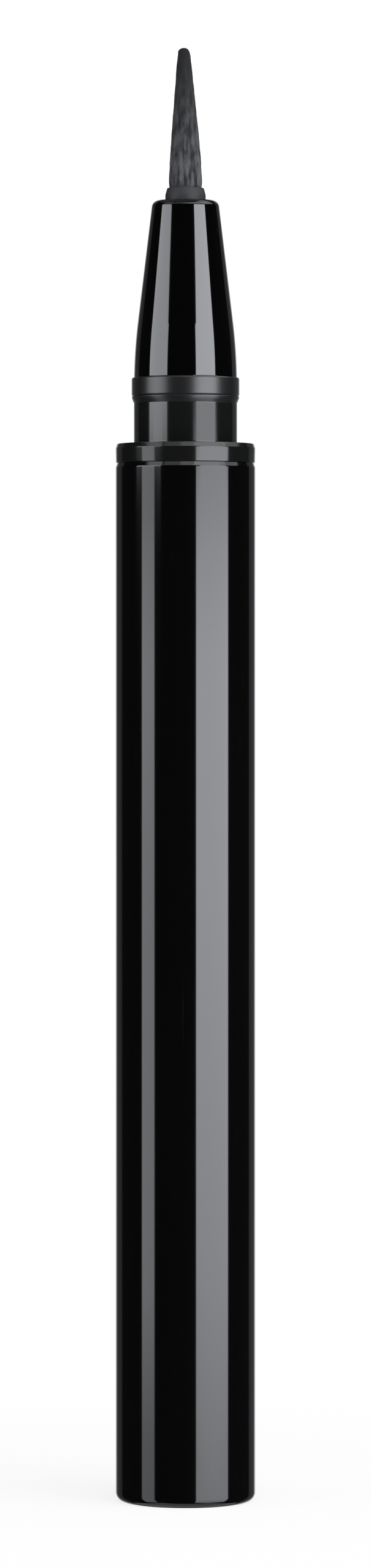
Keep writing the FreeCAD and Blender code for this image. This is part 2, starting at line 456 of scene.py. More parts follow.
class SharedEffects:
    """Builds the node groups that several finishes use, each once.

    The places that their noises read are scaled in periods to the metre along each axis.
    """

    def __init__(self) -> None:
        """Starts with no group built."""
        self._groups: dict[Effect, bpy.types.NodeTree] = {}

    def get(self, effect: Effect) -> bpy.types.NodeTree:
        """Returns an effect's group, built at the first call."""
        if effect not in self._groups:
            makers = {
                Effect.MOULDED_SKIN: self._moulded_skin,
                Effect.HAIRLINES: self._hairlines,
                Effect.FIBRES: self._fibres,
            }
            self._groups[effect] = makers[effect]()
        return self._groups[effect]

    def place(self, sketch: Sketch, effect: Effect, values: dict) -> bpy.types.Node:
        """Places an effect's group in a material with its own values.

        Args:
            sketch: the material's tree.
            effect: which group.
            values: the group's inputs.

        Returns:
            The group node.
        """
        return sketch.add("Group", values, node_tree=self.get(effect))

    def _new(self, effect: Effect, inputs: dict[str, str], outputs: dict[str, str]
             ) -> tuple[bpy.types.NodeTree, bpy.types.Node, bpy.types.Node]:
        """Makes an empty group with named sockets.

        Args:
            effect: the group's name.
            inputs: each input's socket type, by name.
            outputs: each output's socket type, by name.

        Returns:
            The group with its input and output nodes.
        """
        tree = bpy.data.node_groups.new(effect.value, "ShaderNodeTree")
        for name, kind in inputs.items():
            tree.interface.new_socket(name=name, in_out="INPUT", socket_type="NodeSocket" + kind)
        for name, kind in outputs.items():
            tree.interface.new_socket(name=name, in_out="OUTPUT", socket_type="NodeSocket" + kind)
        return tree, tree.nodes.new("NodeGroupInput"), tree.nodes.new("NodeGroupOutput")

    def _moulded_skin(self) -> bpy.types.NodeTree:
        """A moulding's faint clouding, its uneven polish and its orange-peel ripple."""
        tree, given, result = self._new(
            Effect.MOULDED_SKIN,
            {"Colour": "Color", "Clouding": "Float", "Roughness": "Float", "Haze": "Float"},
            {"Colour": "Color", "Roughness": "Float", "Ripple": "Float"},
        )
        sketch = Sketch(tree)
        cloud = sketch.noise(sketch.place((180.0, 180.0, 60.0)), detail=3.0)
        lift = sketch.math("MULTIPLY", sketch.math("SUBTRACT", cloud, 0.5), given.outputs["Clouding"])
        gain = sketch.math("ADD", lift, 1.0)
        tinted = sketch.add(
            "VectorMath", {0: given.outputs["Colour"], 3: gain}, operation="SCALE"
        ).outputs["Vector"]
        smear = sketch.noise(sketch.place((420.0, 420.0, 110.0)), detail=4.0)
        uneven = sketch.math("MULTIPLY", sketch.math("SUBTRACT", smear, 0.5), given.outputs["Haze"])
        ripple = sketch.noise(sketch.place((900.0, 900.0, 500.0)), detail=2.0)
        sketch.tree.links.new(tinted, result.inputs["Colour"])
        sketch.tree.links.new(
            sketch.math("ADD", given.outputs["Roughness"], uneven), result.inputs["Roughness"]
        )
        sketch.tree.links.new(ripple, result.inputs["Ripple"])
        return tree

    def _hairlines(self) -> bpy.types.NodeTree:
        """Fine scuffs from handling, as a mask of short thin lines along and across a surface."""
        tree, given, result = self._new(
            Effect.HAIRLINES, {"Amount": "Float"}, {"Mask": "Float"}
        )
        sketch = Sketch(tree)
        along = sketch.noise(sketch.place((7000.0, 7000.0, 260.0)), detail=2.0)
        across = sketch.noise(sketch.place((700.0, 700.0, 9000.0)), detail=2.0)
        wear = sketch.noise(sketch.place((160.0, 160.0, 90.0)), detail=2.0)
        lines = sketch.math(
            "MAXIMUM",
            sketch.ramp(along, low=0.66, high=0.74),
            sketch.ramp(across, low=0.7, high=0.78),
        )
        worn = sketch.math("MULTIPLY", lines, sketch.ramp(wear, low=0.5, high=0.68))
        mask = sketch.math("MULTIPLY", worn, given.outputs["Amount"])
        sketch.tree.links.new(mask, result.inputs["Mask"])
        return tree

    def _fibres(self) -> bpy.types.NodeTree:
        """Pressed fibres that run along the axis: light and dark streaks, mottled in patches."""
        tree, given, result = self._new(
            Effect.FIBRES,
            {"Dark": "Color", "Light": "Color", "Soaked": "Float"},
            {"Colour": "Color", "Roughness": "Float", "Height": "Float"},
        )
        sketch = Sketch(tree)
        strand = sketch.noise(sketch.place((4200.0, 4200.0, 700.0)), detail=3.0)
        fine = sketch.noise(sketch.place((16000.0, 16000.0, 1500.0)), detail=2.0)
        patch = sketch.noise(sketch.place((1400.0, 1400.0, 900.0)), detail=2.0)
        mixed = sketch.math(
            "ADD", sketch.math("MULTIPLY", strand, 0.55), sketch.math("MULTIPLY", patch, 0.45)
        )
        light = sketch.ramp(mixed, low=0.36, high=0.64)
        dry = sketch.math("SUBTRACT", 1.0, given.outputs["Soaked"])
        share = sketch.math("MULTIPLY", light, dry)
        colour = sketch.blend(share, given.outputs["Dark"], given.outputs["Light"])
        height = sketch.math(
            "ADD", sketch.math("MULTIPLY", strand, 0.6), sketch.math("MULTIPLY", fine, 0.4)
        )
        rough = sketch.ramp(share, low=0.0, high=1.0, start=0.72, end=0.95)
        sketch.tree.links.new(colour, result.inputs["Colour"])
        sketch.tree.links.new(rough, result.inputs["Roughness"])
        sketch.tree.links.new(height, result.inputs["Height"])
        return tree


# Finishes


def new_material(name: str) -> tuple[bpy.types.Material, Sketch, bpy.types.Node]:
    """Makes a material.

    Args:
        name: the material's name.

    Returns:
        The material, a sketch of its tree, and its Principled BSDF.
    """
    material = bpy.data.materials.new(name)
    material.use_nodes = True
    sketch = Sketch(material.node_tree)
    return material, sketch, material.node_tree.nodes["Principled BSDF"]


@dataclass(frozen=True)
class SkinFinish:
    """A smooth, hard skin with an uneven polish and fine marks.

    Attributes:
        name: the material's name.
        colour: the body colour.
        roughness: the polish, from 0 for a mirror.
        haze: how far the polish varies over the surface.
        clouding: how far the colour varies, as a share of it.
        scuffs: strength of the marks.
        scuff_dulling: how much rougher a mark is.
    """

    scuff_dulling: ClassVar[float] = 0.2

    name: str
    colour: Colour
    roughness: float
    haze: float
    clouding: float
    scuffs: float

    def polish(self, effects: SharedEffects, sketch: Sketch, surface: bpy.types.Node
               ) -> tuple[bpy.types.Node, bpy.types.NodeSocket]:
        """Places the skin and its marks in a material, and gives the surface its polish.

        Args:
            effects: the shared effects.
            sketch: the material's tree.
            surface: the material's Principled BSDF.

        Returns:
            The skin's group node, and the mask of the marks.
        """
        skin = effects.place(
            sketch,
            Effect.MOULDED_SKIN,
            {
                "Colour": rgba(self.colour),
                "Clouding": self.clouding,
                "Roughness": self.roughness,
                "Haze": self.haze,
            },
        )
        marks = effects.place(sketch, Effect.HAIRLINES, {"Amount": self.scuffs}).outputs["Mask"]
        dulling = sketch.math("MULTIPLY", marks, self.scuff_dulling)
        rough = sketch.math("ADD", skin.outputs["Roughness"], dulling)
        sketch.tree.links.new(rough, surface.inputs["Roughness"])
        return skin, marks


@dataclass(frozen=True)
class MouldedFinish(SkinFinish):
    """A moulded plastic or elastomer.

    Attributes:
        ripple: height of the orange-peel ripple.
        ior: index of refraction.
        coat: weight of a clear gloss coat.
        coat_roughness: the coat's polish.
        scuff_lift: how much paler a handling mark is.
    """

    ripple: float
    ior: float = 1.5
    coat: float = 0.0
    coat_roughness: float = 0.03
    scuff_lift: float = 0.05

    def material(self, effects: SharedEffects) -> bpy.types.Material:
        """Builds the material from the shared effects."""
        material, sketch, surface = new_material(self.name)
        skin, marks = self.polish(effects, sketch, surface)
        links = sketch.tree.links
        pale = tuple(min(1.0, channel + self.scuff_lift) for channel in self.colour)
        colour = sketch.blend(marks, skin.outputs["Colour"], rgba(pale))
        links.new(colour, surface.inputs["Base Color"])
        bump = sketch.add(
            "Bump", {"Strength": 1.0, "Distance": self.ripple, "Height": skin.outputs["Ripple"]}
        )
        links.new(bump.outputs["Normal"], surface.inputs["Normal"])
        surface.inputs["IOR"].default_value = self.ior
        surface.inputs["Coat Weight"].default_value = self.coat
        surface.inputs["Coat Roughness"].default_value = self.coat_roughness
        surface.inputs["Coat IOR"].default_value = self.ior
        return material


@dataclass(frozen=True)
class FibreFinish:
    """Pressed or bonded fibres that have soaked up the liquid.

    Attributes:
        name: the material's name.
        dark: colour of the soaked fibres.
        light: colour of the drier fibres.
        dry_height: height along the axis where the fibres are driest.
        soaked_height: height where they are soaked through.
        grain: height of the fibres' relief.
        sheen: strength of the soft light on their edges.
        sheen_roughness: how far that light spreads.
        relief: share of the relief that shows.
        gloss: specular level of the wet fibres.
    """

    name: str
    dark: Colour
    light: Colour
    dry_height: float
    soaked_height: float
    grain: float
    sheen: float
    sheen_roughness: float = 0.5
    relief: float = 0.8
    gloss: float = 0.25

    def material(self, effects: SharedEffects) -> bpy.types.Material:
        """Builds the material from the shared effects."""
        material, sketch, surface = new_material(self.name)
        links = sketch.tree.links
        place = sketch.add("TexCoord").outputs["Object"]
        height = sketch.add("SeparateXYZ", {"Vector": place}).outputs["Z"]
        soaked = sketch.ramp(height, self.dry_height, self.soaked_height)
        fibres = effects.place(
            sketch,
            Effect.FIBRES,
            {"Dark": rgba(self.dark), "Light": rgba(self.light), "Soaked": soaked},
        )
        links.new(fibres.outputs["Colour"], surface.inputs["Base Color"])
        links.new(fibres.outputs["Roughness"], surface.inputs["Roughness"])
        bump = sketch.add(
            "Bump",
            {"Strength": self.relief, "Distance": self.grain, "Height": fibres.outputs["Height"]},
        )
        links.new(bump.outputs["Normal"], surface.inputs["Normal"])
        surface.inputs["Specular IOR Level"].default_value = self.gloss
        surface.inputs["Sheen Weight"].default_value = self.sheen
        surface.inputs["Sheen Roughness"].default_value = self.sheen_roughness
        return material


@dataclass(frozen=True)
class SteelFinish(SkinFinish):
    """Polished steel with fine turning marks."""

    scuff_dulling: ClassVar[float] = 0.15

    def material(self, effects: SharedEffects) -> bpy.types.Material:
        """Builds the material from the shared effects."""
        material, sketch, surface = new_material(self.name)
        skin, _ = self.polish(effects, sketch, surface)
        sketch.tree.links.new(skin.outputs["Colour"], surface.inputs["Base Color"])
        surface.inputs["Metallic"].default_value = 1.0
        return material


Finish = MouldedFinish | FibreFinish | SteelFinish


@dataclass(frozen=True)
class Palette:
    """The pen's moulded and metal finishes, each named for the piece that wears it."""

    barrel: MouldedFinish = MouldedFinish(
        "barrel_gloss", (0.001, 0.001, 0.0012), roughness=0.08, haze=0.03, clouding=0.3,
        ripple=0.0004 * MM, scuffs=0.1, ior=1.55, coat=1.0,
    )
    neck: MouldedFinish = MouldedFinish(
        "neck_satin", (0.0052, 0.0058, 0.0053), roughness=0.13, haze=0.05, clouding=0.3,
        ripple=0.0008 * MM, scuffs=0.1, ior=1.55, coat=0.8, coat_roughness=0.08,
    )
    seal: MouldedFinish = MouldedFinish(
        "seal_elastomer", (0.007, 0.0075, 0.0078), roughness=0.32, haze=0.08, clouding=0.4,
        ripple=0.002 * MM, scuffs=0.0, ior=1.55, coat=1.0, coat_roughness=0.26,
    )
    cone: MouldedFinish = MouldedFinish(
        "cone_gloss", (0.0006, 0.0006, 0.0007), roughness=0.06, haze=0.03, clouding=0.3,
        ripple=0.0004 * MM, scuffs=0.08, ior=1.55, coat=1.0,
    )
    sleeve: MouldedFinish = MouldedFinish(
        "sleeve_plastic", (0.038, 0.039, 0.041), roughness=0.5, haze=0.1, clouding=0.5,
        ripple=0.002 * MM, scuffs=0.2, ior=1.38,
    )
    collector: MouldedFinish = MouldedFinish(
        "collector_plastic", (0.55, 0.55, 0.53), roughness=0.38, haze=0.1, clouding=0.25,
        ripple=0.001 * MM, scuffs=0.1,
    )
    tank: MouldedFinish = MouldedFinish(
        "tank_plastic", (0.68, 0.69, 0.68), roughness=0.33, haze=0.1, clouding=0.12,
        ripple=0.001 * MM, scuffs=0.1,
    )
    plug: MouldedFinish = MouldedFinish(
        "plug_plastic", (0.58, 0.59, 0.58), roughness=0.4, haze=0.1, clouding=0.15,
        ripple=0.001 * MM, scuffs=0.1,
    )
    ball: SteelFinish = SteelFinish(
        "ball_steel", (0.6, 0.6, 0.61), roughness=0.1, haze=0.06, clouding=0.1, scuffs=0.5,
    )


# Outer pieces


@dataclass
class TurnedPart:
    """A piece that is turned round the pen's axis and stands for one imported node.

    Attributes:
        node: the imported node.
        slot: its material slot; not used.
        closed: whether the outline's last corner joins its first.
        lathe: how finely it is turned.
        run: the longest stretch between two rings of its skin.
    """

    node: ClassVar[str] = ""
    slot: ClassVar[str] = ""
    closed: ClassVar[bool] = True

    lathe: Lathe = field(default_factory=Lathe)
    run: float = 3.0 * MM

    def outline(self, low: Vector, high: Vector) -> list[Corner]:
        """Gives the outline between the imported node's lowest and highest corners."""
        raise NotImplementedError

    def build(self) -> bpy.types.Object:
        """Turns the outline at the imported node's place."""
        low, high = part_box(self.node)
        return self.lathe.turn(self.node + "_shown", self.outline(low, high), self.closed, self.run)

    def dress(self, piece: bpy.types.Object, material: bpy.types.Material) -> None:
        """Gives the piece its finish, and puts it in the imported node's place.

        Args:
            piece: the turned mesh.
            material: its finish.
        """
        piece.data.materials.clear()
        piece.data.materials.append(material)
        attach(piece, PEN_BODY)
        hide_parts(self.node)


@dataclass
class Barrel(TurnedPart):
    """The long tube: closed, rounded tail, snap groove by the mouth, ribs that centre the tank.

    Attributes:
        wall: the tube's wall.
        tail_wall: thickness of the closed tail.
        tail_round: rounding of the tail's edge.
        mouth_rise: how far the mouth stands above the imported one.
        mouth_slope: height of the sloping edge round the mouth.
        mouth_inset: how far that edge leans in.
        edge_round: rounding where the slope starts.
        snap_setback: from the mouth down to the middle of the snap groove.
        snap_depth: the groove's depth.
        snap_width: its width at the bore.
        rib_count: how many ribs hold the tank.
        rib_width: each rib's width.
        rib_ledge: how far the ribs reach in under the tank's plug.
        rib_overlap: how far they run up beside the tank.
        tank_gap: clearance between the ribs and the tank.
    """

    node: ClassVar[str] = "barrel"
    slot: ClassVar[str] = "barrel_gloss"
    closed: ClassVar[bool] = False

    wall: float = 1.0 * MM
    tail_wall: float = 2.0 * MM
    tail_round: float = 0.65 * MM
    mouth_rise: float = 0.2 * MM
    mouth_slope: float = 0.36 * MM
    mouth_inset: float = 0.12 * MM
    edge_round: float = 0.02 * MM
    snap_setback: float = 3.5 * MM
    snap_depth: float = 0.12 * MM
    snap_width: float = 0.96 * MM
    rib_count: int = 6
    rib_width: float = 0.8 * MM
    rib_ledge: float = 1.0 * MM
    rib_overlap: float = 4.0 * MM
    tank_gap: float = 0.03 * MM

    def outline(self, low: Vector, high: Vector) -> list[Corner]:
        """Runs from the tail's centre up the outside and down the bore, past the snap groove."""
        bore = high.x - self.wall
        floor = low.z + self.tail_wall
        mouth = high.z + self.mouth_rise
        groove = snap_ring(bore, mouth - self.snap_setback, self.snap_depth, self.snap_width)
        return [
            Corner(0.0, low.z),
            Corner(high.x, low.z, self.tail_round),
            Corner(high.x, mouth - self.mouth_slope, self.edge_round),
            Corner(high.x - self.mouth_inset, mouth),
            Corner(bore, mouth),
            *reversed(groove),
            Corner(bore, floor),
            Corner(0.0, floor),
        ]

    def build(self) -> bpy.types.Object:
        """Turns the tube, and adds the ribs that the tank's plug stands on and that hold it upright."""
        piece = super().build()
        low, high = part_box(self.node)
        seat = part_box("tank_plug")[0].z
        tank_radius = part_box("ink_tank")[1].x
        root = high.x - self.wall / 2
        stages = (
            (tank_radius - self.rib_ledge, low.z + self.tail_wall / 2, seat),
            (tank_radius + self.tank_gap, seat, seat + self.rib_overlap),
        )
        for inner, foot, top in stages:
            ribs = bars_about_axis(
                "barrel_ribs", self.rib_count, self.rib_width, inner, root, foot, top
            )
            apply_boolean(piece, ribs, "UNION")
        shade_smooth(piece, self.lathe.smooth_angle_deg)
        return piece


@dataclass
class NeckSection(TurnedPart):
    """The collar, the neck that a cap slides over, and the spigot that snaps into the barrel.

    Attributes:
        neck_radius: the neck's outside.
        collar_top: height of the collar's upper face.
        collar_height: from the seam with the barrel to that face.
        collar_slope: height of the collar's sloping upper edge.
        collar_inset: how far that edge leans in.
        collar_draft: how much narrower the collar is at the seam.
        edge_round: rounding at both ends of the slope.
        seam_round: rounding of the collar's lower edge.
        root_round: rounding between the collar and the neck.
        rim_round: rounding of the neck's upper edge.
        neck_wall: the neck's wall.
        spigot_radius: the spigot's outside.
        spigot_wall: the spigot's wall.
        lead_in: rounding of the spigot's lower edge.
        snap_setback: from the seam down to the middle of the snap bead.
        snap_height: how far the bead stands out.
        snap_width: its width at the spigot.
        socket_floor: height of the floor of the socket for the cone's stem.
        land_thickness: thickness of the wall under that floor.
        land_bore: radius of the hole through that wall.
    """

    node: ClassVar[str] = "neck_section"
    slot: ClassVar[str] = "neck_satin"

    neck_radius: float = 4.07 * MM
    collar_top: float = 83.4 * MM
    collar_height: float = 1.5 * MM
    collar_slope: float = 0.36 * MM
    collar_inset: float = 0.12 * MM
    collar_draft: float = 0.02 * MM
    edge_round: float = 0.02 * MM
    seam_round: float = 0.03 * MM
    root_round: float = 0.08 * MM
    rim_round: float = 0.03 * MM
    neck_wall: float = 0.85 * MM
    spigot_radius: float = 4.47 * MM
    spigot_wall: float = 0.55 * MM
    lead_in: float = 0.3 * MM
    snap_setback: float = 3.5 * MM
    snap_height: float = 0.12 * MM
    snap_width: float = 0.9 * MM
    socket_floor: float = 81.57 * MM
    land_thickness: float = 2.0 * MM
    land_bore: float = 1.8 * MM

    def outline(self, low: Vector, high: Vector) -> list[Corner]:
        """Runs up the spigot, collar and neck and back down through the sockets."""
        seam = self.collar_top - self.collar_height
        tank_socket = self.spigot_radius - self.spigot_wall
        stem_socket = self.neck_radius - self.neck_wall
        land_foot = self.socket_floor - self.land_thickness
        bead = snap_ring(
            self.spigot_radius, seam - self.snap_setback, self.snap_height, self.snap_width
        )
        return [
            Corner(tank_socket, low.z),
            Corner(self.spigot_radius, low.z, self.lead_in),
            *bead,
            Corner(self.spigot_radius, seam),
            Corner(high.x - self.collar_draft, seam, self.seam_round),
            Corner(high.x, self.collar_top - self.collar_slope, self.edge_round),
            Corner(high.x - self.collar_inset, self.collar_top, self.edge_round),
            Corner(self.neck_radius, self.collar_top, self.root_round),
            Corner(self.neck_radius, high.z, self.rim_round),
            Corner(stem_socket, high.z),
            Corner(stem_socket, self.socket_floor),
            Corner(self.land_bore, self.socket_floor),
            Corner(self.land_bore, land_foot),
            Corner(tank_socket, land_foot),
        ]


@dataclass
class CapSeal(TurnedPart):
    """The soft band that a cap closes on: a sloping shoulder, and a fine groove above a tapered lip.

    Attributes:
        bore: radius of the hole for the cone's stem.
        top_drop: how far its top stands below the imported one.
        shoulder_slope: height of the shoulder.
        shoulder_inset: how far the shoulder leans in.
        shoulder_round: rounding at both ends of the shoulder.
        foot_radius: the lip at its lower edge.
        knee_radius: the lip where its taper bends.
        knee_height: height of the bend above the lower edge.
        knee_round: rounding of the bend.
        lip_height: from the lower edge to the groove.
        groove_width: the groove's width.
        groove_depth: its depth.
        groove_round: rounding of its edges.
    """

    node: ClassVar[str] = "cap_seal"
    slot: ClassVar[str] = "seal_elastomer"

    bore: float = 3.22 * MM
    top_drop: float = 0.2 * MM
    shoulder_slope: float = 0.12 * MM
    shoulder_inset: float = 0.04 * MM
    shoulder_round: float = 0.03 * MM
    foot_radius: float = 4.06 * MM
    knee_radius: float = 4.19 * MM
    knee_height: float = 0.29 * MM
    knee_round: float = 0.1 * MM
    lip_height: float = 0.5 * MM
    groove_width: float = 0.12 * MM
    groove_depth: float = 0.08 * MM
    groove_round: float = 0.04 * MM

    def outline(self, low: Vector, high: Vector) -> list[Corner]:
        """Runs up the lip, over the groove and up the shoulder."""
        groove_foot = low.z + self.lip_height
        groove_top = groove_foot + self.groove_width
        groove_radius = high.x - self.groove_depth
        top = high.z - self.top_drop
        return [
            Corner(self.bore, low.z),
            Corner(self.foot_radius, low.z),
            Corner(self.knee_radius, low.z + self.knee_height, self.knee_round),
            Corner(high.x, groove_foot, self.groove_round),
            Corner(groove_radius, groove_foot + self.groove_width / 2),
            Corner(high.x, groove_top, self.groove_round),
            Corner(high.x, top - self.shoulder_slope, self.shoulder_round),
            Corner(high.x - self.shoulder_inset, top, self.shoulder_round),
            Corner(self.bore, top),
        ]


@dataclass
class TipCone(TurnedPart):
    """The tapered holder, with a stem in the neck and air grooves in its bore.

    Attributes:
        base_height: height of the cone's lower edge.
        base_round: rounding of that edge.
        waist_radius: the cone where its taper steepens.
        waist_height: height of that place above the lower edge.
        waist_round: rounding there.
        mouth_radius: the cone at its upper edge.
        mouth_round: rounding of that edge.
        stem_radius: the stem's outside.
        stem_wall: its wall.
        bore: radius of the hole for the sleeve.
        grip: length of that hole.
        groove_count: how many air grooves run along it.
        groove_width: each groove's width.
        groove_depth: each groove's depth.
        overrun: how far the grooves' cutter runs past both ends of the hole.
    """

    node: ClassVar[str] = "tip_cone"
    slot: ClassVar[str] = "cone_gloss"

    base_height: float = 88.6 * MM
    base_round: float = 0.03 * MM
    waist_radius: float = 3.985 * MM
    waist_height: float = 2.5 * MM
    waist_round: float = 1.6 * MM
    mouth_radius: float = 2.6 * MM
    mouth_round: float = 0.45 * MM
    stem_radius: float = 3.19 * MM
    stem_wall: float = 0.8 * MM
    bore: float = 1.62 * MM
    grip: float = 9.0 * MM
    groove_count: int = 4
    groove_width: float = 0.5 * MM
    groove_depth: float = 0.3 * MM
    overrun: float = 2.0 * MM

    def outline(self, low: Vector, high: Vector) -> list[Corner]:
        """Runs up the stem and the flank and back down through the bore and the cavity."""
        cavity = self.stem_radius - self.stem_wall
        step = high.z - self.grip
        return [
            Corner(cavity, low.z),
            Corner(self.stem_radius, low.z),
            Corner(self.stem_radius, self.base_height),
            Corner(high.x, self.base_height, self.base_round),
            Corner(self.waist_radius, self.base_height + self.waist_height, self.waist_round),
            Corner(self.mouth_radius, high.z, self.mouth_round),
            Corner(self.bore, high.z),
            Corner(self.bore, step),
            Corner(cavity, step),
        ]

    def build(self) -> bpy.types.Object:
        """Turns the cone and cuts its air grooves."""
        piece = super().build()
        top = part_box(self.node)[1].z
        grooves = bars_about_axis(
            "cone_groove_cutter",
            self.groove_count,
            self.groove_width,
            0.0,
            self.bore + self.groove_depth,
            top - self.grip - self.overrun,
            top + self.overrun,
        )
        apply_boolean(piece, grooves, "DIFFERENCE")
        shade_smooth(piece, self.lathe.smooth_angle_deg)
        return piece


@dataclass
class NibSleeve(TurnedPart):
    """The bush that grips the nib and stands a little out of the cone.

    Attributes:
        radius: the bush's outside.
        bore: radius of the hole for the nib.
        flange_thickness: thickness of the flange at its lower end.
        taper_height: height of the tapered lip.
        lip_radius: the lip at its upper edge.
        lip_round: rounding at both ends of the lip.
    """

    node: ClassVar[str] = "nib_sleeve"
    slot: ClassVar[str] = "sleeve_plastic"

    radius: float = 1.59 * MM
    bore: float = 1.29 * MM
    flange_thickness: float = 0.8 * MM
    taper_height: float = 0.55 * MM
    lip_radius: float = 1.44 * MM
    lip_round: float = 0.08 * MM

    def outline(self, low: Vector, high: Vector) -> list[Corner]:
        """Runs over the flange and up to the tapered lip."""
        step = low.z + self.flange_thickness
        return [
            Corner(self.bore, low.z),
            Corner(high.x, low.z),
            Corner(high.x, step),
            Corner(self.radius, step),
            Corner(self.radius, high.z - self.taper_height, self.lip_round),
            Corner(self.lip_radius, high.z, self.lip_round),
            Corner(self.bore, high.z),
        ]


@dataclass
class FeltNib(TurnedPart):
    """The pressed-felt point, with its fibres raised along it.

    Attributes:
        point_length: from the end of the straight shank to the tip.
        swell_radius: the felt where it swells as it leaves the sleeve.
        swell_height: height of the swelling above the shank.
        swell_round: rounding of the swelling.
        belly_radius: the felt in the lower part of its taper.
        belly_height: height of that place above the shank.
        belly_round: rounding there.
        shoulder_radius: the felt where it turns in to the tip.
        shoulder_drop: from the tip down to that place.
        shoulder_round: rounding there.
        tip_radius: the blunt end.
        tip_round: rounding of the blunt end.
        lean: how far the tip leans to the left.
        lean_power: how far the lean is kept to the upper part, where 1 is an even lean.
        wick_hole: radius of the hole for the wick.
        wick_bite: depth of that hole.
        grain: height of the raised fibres.
        strand_width: a fibre's width.
        strand_length: a fibre's length.
        strand_sizes: how many sizes of fibre lie on each other.
        strand_step: how many times finer each size is than the last.
        strand_fade: how much lower the finer sizes are.
        seed: where the pattern of fibres starts.
        soaked_colour: the felt at the tip.
        dry_colour: the drier fibres by the sleeve.
        dry_drop: from the tip down to where the fibres are driest.
        felt_relief: height of the fibres that only the finish shows.
        felt_sheen: strength of the soft light on the fibres' edges.
    """

    node: ClassVar[str] = "felt_nib"
    slot: ClassVar[str] = "nib_felt"
    closed: ClassVar[bool] = False

    lathe: Lathe = field(default_factory=lambda: Lathe(steps=160))
    run: float = 0.12 * MM
    point_length: float = 11.02 * MM
    swell_radius: float = 1.31 * MM
    swell_height: float = 0.35 * MM
    swell_round: float = 0.2 * MM
    belly_radius: float = 1.2 * MM
    belly_height: float = 2.65 * MM
    belly_round: float = 1.8 * MM
    shoulder_radius: float = 0.57 * MM
    shoulder_drop: float = 1.25 * MM
    shoulder_round: float = 0.8 * MM
    tip_radius: float = 0.4 * MM
    tip_round: float = 0.36 * MM
    lean: float = 0.13 * MM
    lean_power: float = 1.5
    wick_hole: float = 0.83 * MM
    wick_bite: float = 3.03 * MM
    grain: float = 0.035 * MM
    strand_width: float = 0.16 * MM
    strand_length: float = 1.1 * MM
    strand_sizes: int = 3
    strand_step: float = 2.0
    strand_fade: float = 1.0
    seed: int = 7
    soaked_colour: Colour = (0.0105, 0.0105, 0.0115)
    dry_colour: Colour = (0.095, 0.1, 0.106)
    dry_drop: float = 11.5 * MM
    felt_relief: float = 0.03 * MM
    felt_sheen: float = 0.08

    def outline(self, low: Vector, high: Vector) -> list[Corner]:
        """Runs from the wick's hole round the shank and up the taper to the tip."""
        hole_top = low.z + self.wick_bite
        foot = high.z - self.point_length
        return [
            Corner(0.0, hole_top),
            Corner(self.wick_hole, hole_top),
            Corner(self.wick_hole, low.z),
            Corner(high.x, low.z),
            Corner(high.x, foot),
            Corner(self.swell_radius, foot + self.swell_height, self.swell_round),
            Corner(self.belly_radius, foot + self.belly_height, self.belly_round),
            Corner(self.shoulder_radius, high.z - self.shoulder_drop, self.shoulder_round),
            Corner(self.tip_radius, high.z, self.tip_round),
            Corner(0.0, high.z),
        ]

    def finish(self) -> FibreFinish:
        """Gives the felt's finish, which is soaked at the tip and drier by the sleeve."""
        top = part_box(self.node)[1].z
        return FibreFinish(
            "nib_felt", self.soaked_colour, self.dry_colour,
            dry_height=top - self.dry_drop, soaked_height=top,
            grain=self.felt_relief, sheen=self.felt_sheen,
        )

    def build(self) -> bpy.types.Object:
        """Turns the nib, raises its fibres and leans its point a little to the left."""
        piece = super().build()
        self._raise_fibres(piece)
        self._lean_point(piece)
        return piece

    def _lean_point(self, piece: bpy.types.Object) -> None:
        """Bends the soft point sideways, from the sleeve to the tip."""
        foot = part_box(self.node)[1].z - self.point_length
        for vertex in piece.data.vertices:
            along = max(0.0, vertex.co.z - foot) / self.point_length
            vertex.co.x -= self.lean * along ** self.lean_power
        piece.data.update()

    def _raise_fibres(self, piece: bpy.types.Object) -> None:
        """Raises fibres and presses valleys between them, from the sleeve up to the tip."""
        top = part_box(self.node)[1].z
        foot = top - self.point_length
        offset = Vector((self.seed, 0.0, 0.0))
        for vertex in piece.data.vertices:
            if vertex.co.z < foot:
                continue
            out = Vector((vertex.co.x, vertex.co.y, 0.0))
            if out.length < self.strand_width:
                continue
            place = Vector((
                vertex.co.x / self.strand_width,
                vertex.co.y / self.strand_width,
                vertex.co.z / self.strand_length,
            ))
            lift = noise.fractal(
                place + offset, self.strand_fade, self.strand_step, self.strand_sizes
            )
            rise = min(1.0, (vertex.co.z - foot) / self.strand_length)
            vertex.co += out.normalized() * self.grain * lift * rise
        piece.data.update()


# Inner pieces


@dataclass(frozen=True)
class InnerWorks:
    """The pieces inside the barrel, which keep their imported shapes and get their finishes.

    Attributes:
        wick_soaked: colour of the wick in the tank.
        wick_dry: colour of its drier fibres by the nib.
        wick_sheen: the wick's sheen.
        wick_grain: height of the wick's fibres.
    """

    wick_soaked: Colour = (0.012, 0.012, 0.014)
    wick_dry: Colour = (0.08, 0.08, 0.085)
    wick_sheen: float = 0.2
    wick_grain: float = 0.02 * MM

    def finishes(self, palette: Palette) -> dict[str, Finish]:
        """Gives each inner node's finish, by node name."""
        low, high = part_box("feed_wick")
        wick = FibreFinish(
            "wick_fibre", self.wick_soaked, self.wick_dry,
            dry_height=high.z, soaked_height=low.z, grain=self.wick_grain, sheen=self.wick_sheen,
        )
        return {
            "feed_wick": wick,
            "comb_collector": palette.collector,
            "tank_gasket": palette.seal,
            "ink_tank": palette.tank,
            "tank_plug": palette.plug,
            "agitator_ball": palette.ball,
        }


# Studio


